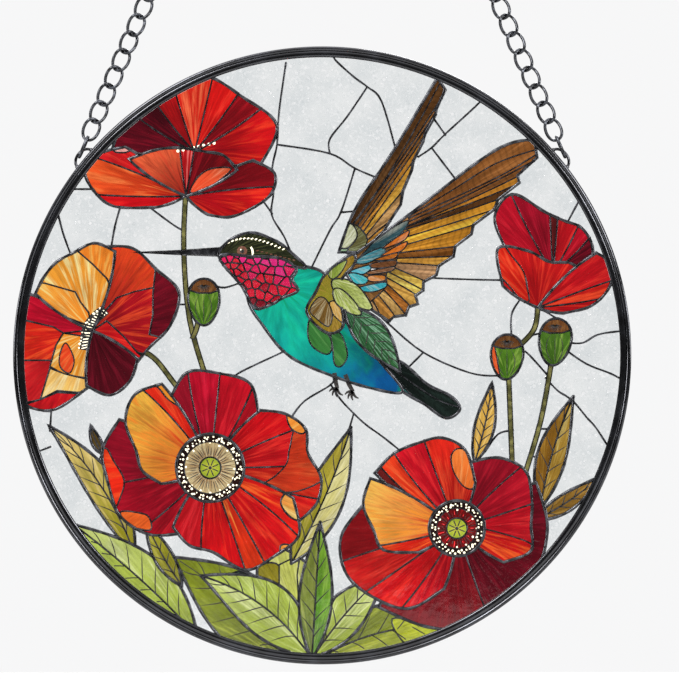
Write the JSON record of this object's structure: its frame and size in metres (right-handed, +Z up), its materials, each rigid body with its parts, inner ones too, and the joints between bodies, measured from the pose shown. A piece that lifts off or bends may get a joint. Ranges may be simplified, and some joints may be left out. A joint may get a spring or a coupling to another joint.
{
  "type": "stained glass suncatcher",
  "caption": "Round stained glass suncatcher of a hummingbird among red poppies, with a black metal rim, hung by two chains from a small ring.",
  "frame": {"origin": "the point inside the hanging ring where a hook bears, under the ring's top wire and on the disc's middle plane", "axes": "+Z up along the hang, +X to the right of the picture seen from its front, the front of the picture faces -Y"},
  "size_m": [0.3, 0.009, 0.5316],
  "materials": {
    "black_metal": "gloss black over metal",
    "dark_lines": "dark rounded lines, satin with bright glints",
    "clear_glass": "clear, seedy and lightly hammered",
    "scarlet_glass": "streaky translucent scarlet",
    "red_glass": "streaky translucent red",
    "crimson_glass": "streaky translucent crimson",
    "wine_glass": "streaky translucent dark wine red",
    "orange_glass": "streaky translucent orange and yellow",
    "amber_glass": "streaky translucent amber",
    "stamen_glass": "tan glass with painted stamens",
    "dark_glass": "near black red glass with painted stamens",
    "throat_glass": "small ruby and pink tiles",
    "turquoise_glass": "turquoise shading to green and blue",
    "gold_glass": "gold brown with hatched feather lines",
    "feather_glass": "brown, amber and gold feathers",
    "brown_glass": "streaky brown",
    "green_feather_glass": "dark green with pale hatching",
    "black_feather_glass": "near black green",
    "pod_glass": "green with a dark crown",
    "leaf_glass": "streaky light green with painted veins",
    "olive_glass": "streaky olive",
    "straw_glass": "streaky straw yellow with painted veins"
  },
  "bodies": {
    "root": {"bird_back": "green_feather_glass", "bird_breast": "turquoise_glass", "bird_crown": "black_feather_glass", "bird_far_wing": "feather_glass", "bird_near_wing": "feather_glass", "bird_shoulder": "gold_glass", "bird_tail": "black_feather_glass", "bird_throat": "throat_glass", "chain_left": "black_metal", "chain_right": "black_metal", "clear_above_wing": "clear_glass", "clear_bottom_left": "clear_glass", "clear_by_wing_tip": "clear_glass", "clear_left": "clear_glass", "clear_middle": "clear_glass", "clear_right": "clear_glass", "clear_top": "clear_glass", "clear_upper_left": "clear_glass", "hanging_loop_left": "black_metal", "hanging_loop_right": "black_metal", "hanging_ring": "black_metal", "leaf_amber_right": "amber_glass", "leaf_broad_left": "leaf_glass", "leaf_broad_middle": "leaf_glass", "leaf_brown_right": "brown_glass", "leaf_fan_right": "leaf_glass", "leaf_far_left": "straw_glass", "leaf_ground_left": "olive_glass", "leaf_ground_right": "olive_glass", "leaf_pale_middle": "straw_glass", "leaf_tall": "straw_glass", "leaf_upright": "leaf_glass", "line_network": "dark_lines", "pod_left": "pod_glass", "pod_right_far": "pod_glass", "pod_right_near": "pod_glass", "poppy_large_bottom": "red_glass", "poppy_large_centre": "stamen_glass", "poppy_large_front": "orange_glass", "poppy_large_left": "crimson_glass", "poppy_large_right": "red_glass", "poppy_large_up": "crimson_glass", "poppy_left_amber": "amber_glass", "poppy_left_low": "wine_glass", "poppy_left_right": "crimson_glass", "poppy_left_rim_side": "red_glass", "poppy_low_back": "wine_glass", "poppy_low_bottom": "red_glass", "poppy_low_centre": "dark_glass", "poppy_low_front": "orange_glass", "poppy_low_side": "crimson_glass", "poppy_low_up": "scarlet_glass", "poppy_right_back": "crimson_glass", "poppy_right_cup": "scarlet_glass", "poppy_right_wing": "red_glass", "poppy_top_back": "scarlet_glass", "poppy_top_cup": "scarlet_glass", "poppy_top_wing_left": "red_glass", "poppy_top_wing_right": "crimson_glass", "rim": "black_metal"}
  },
  "joints": []
}
